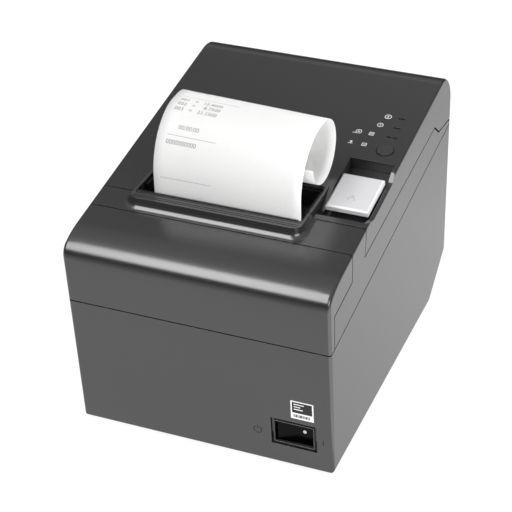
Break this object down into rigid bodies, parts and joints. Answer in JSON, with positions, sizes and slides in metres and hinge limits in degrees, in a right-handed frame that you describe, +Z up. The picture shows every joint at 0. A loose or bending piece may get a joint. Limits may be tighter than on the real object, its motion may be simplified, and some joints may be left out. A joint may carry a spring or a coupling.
{
  "type": "receipt printer",
  "caption": "Desktop thermal receipt printer with a drop-in paper roll under a hinged cover, an automatic cutter and a curled slip in its exit.",
  "frame": {"origin": "on the table, under the middle of the outline", "axes": "+X to the printer's right as seen from its front, +Y to its back, +Z up"},
  "size_m": [0.142, 0.1991, 0.1625],
  "materials": {
    "case": "fine satin texture",
    "silver": "silver paint",
    "black": "matte",
    "button": "satin",
    "lens": "diffuse lens",
    "rubber": "matte",
    "steel": "zinc plate",
    "aluminium": "extruded",
    "nylon": "natural nylon",
    "brass": "plain",
    "board": "solder mask",
    "chip": "moulded",
    "paper": "thermal paper",
    "card": "rolled card"
  },
  "bodies": {
    "printer": {"lower_case": "case", "upper_case": "case", "feet": "rubber", "case_screws": "steel", "paper_bin": "black", "paper_end_sensor": "black", "chassis": "steel", "main_board": "board", "board_chips": "chip", "capacitors": "aluminium", "board_screws": "steel", "interface_panel": "steel", "interface_board": "board", "power_inlet": "black", "data_socket": "black", "drawer_socket": "black", "panel_standoffs": "brass", "panel_screws": "steel", "switch_body": "black", "feed_motor": "steel", "gear_stud": "steel", "cutter_base": "steel", "cutter_motor": "steel", "tear_plate": "black", "paper_web": "paper", "latch_pin": "steel", "hinge_pin": "steel", "head_pivot_pin": "steel", "head_springs": "steel"},
    "cover": {"roll_cover": "case", "platen_holder": "black", "fixed_blade": "steel", "holder_screws": "steel", "platen_bearings": "nylon", "lever_pivot_pin": "steel", "lever_spring": "steel", "control_board": "board", "button_switch": "black", "status_lights": "lens"},
    "platen": {"platen_roller": "rubber", "platen_shaft": "steel", "platen_gear": "nylon"},
    "idler": {"reduction_gear": "nylon"},
    "feed_drive": {"motor_pinion": "nylon", "motor_shaft": "steel"},
    "roll": {"paper_roll": "paper", "roll_core": "card"},
    "head": {"thermal_head": "chip", "head_heatsink": "aluminium"},
    "blade": {"moving_blade": "steel"},
    "cutter_drive": {"cutter_pinion": "nylon", "cutter_shaft": "steel", "cutter_dial": "nylon"},
    "hood": {"cutter_cover": "case"},
    "lever": {"open_lever": "silver", "latch_hook": "black"},
    "button": {"feed_button": "button"},
    "rocker": {"power_rocker": "black"},
    "slip": {"receipt": "paper"}
  },
  "joints": [
    {"name": "cover_hinge", "type": "hinge", "parent": "printer", "child": "cover", "pos_m": [0, 0.0975, 0.112], "axis": [-1, 0, 0], "range_deg": [0, 95]},
    {"name": "platen_spin", "type": "hinge", "parent": "cover", "child": "platen", "pos_m": [0, -0.04323, 0.096], "axis": [1, 0, 0], "continuous": true},
    {"name": "idler_spin", "type": "hinge", "parent": "printer", "child": "idler", "pos_m": [-0.0492, -0.04122, 0.07836], "axis": [1, 0, 0], "continuous": true},
    {"name": "motor_spin", "type": "hinge", "parent": "printer", "child": "feed_drive", "pos_m": [-0.0492, -0.04634, 0.06431], "axis": [1, 0, 0], "continuous": true},
    {"name": "roll_spin", "type": "hinge", "parent": "printer", "child": "roll", "pos_m": [0, 0.034, 0.0594], "axis": [1, 0, 0], "continuous": true},
    {"name": "head_pivot", "type": "hinge", "parent": "printer", "child": "head", "pos_m": [0, -0.05447, 0.078], "axis": [1, 0, 0], "range_deg": [0, 2.5], "stiffness_Nm_per_rad": 2, "deforming": ["head_springs"]},
    {"name": "blade_slide", "type": "slide", "parent": "printer", "child": "blade", "axis": [0, 1, 0], "range_m": [0, 0.0045]},
    {"name": "cutter_spin", "type": "hinge", "parent": "printer", "child": "cutter_drive", "pos_m": [0.05785, -0.072, 0.112], "axis": [0, 0, 1], "range_deg": [-40.79, 0]},
    {"name": "hood_slide", "type": "slide", "parent": "printer", "child": "hood", "axis": [0, -1, 0], "range_m": [0, 0.02]},
    {"name": "lever_press", "type": "hinge", "parent": "cover", "child": "lever", "pos_m": [0.057, -0.013, 0.102], "axis": [-1, 0, 0], "range_deg": [0, 12], "stiffness_Nm_per_rad": 1},
    {"name": "button_press", "type": "slide", "parent": "cover", "child": "button", "axis": [0, 0.1478, -0.989], "range_m": [0, 0.001], "stiffness_N_per_m": 400},
    {"name": "rocker_tilt", "type": "hinge", "parent": "printer", "child": "rocker", "pos_m": [0.0498, -0.08484, 0.0222], "axis": [0, 0, 1], "range_deg": [-14, 0]},
    {"name": "slip_pull", "type": "slide", "parent": "cover", "child": "slip", "axis": [0, 0, 1], "range_m": [0, 0.04]}
  ],
  "couplings": [
    {"joint": "platen_spin", "follows": "roll_spin", "ratio": 6.3636},
    {"joint": "idler_spin", "follows": "roll_spin", "ratio": -4.2424},
    {"joint": "motor_spin", "follows": "roll_spin", "ratio": 10.606},
    {"joint": "cutter_spin", "follows": "blade_slide", "rad_per_m": -156.25}
  ]
}
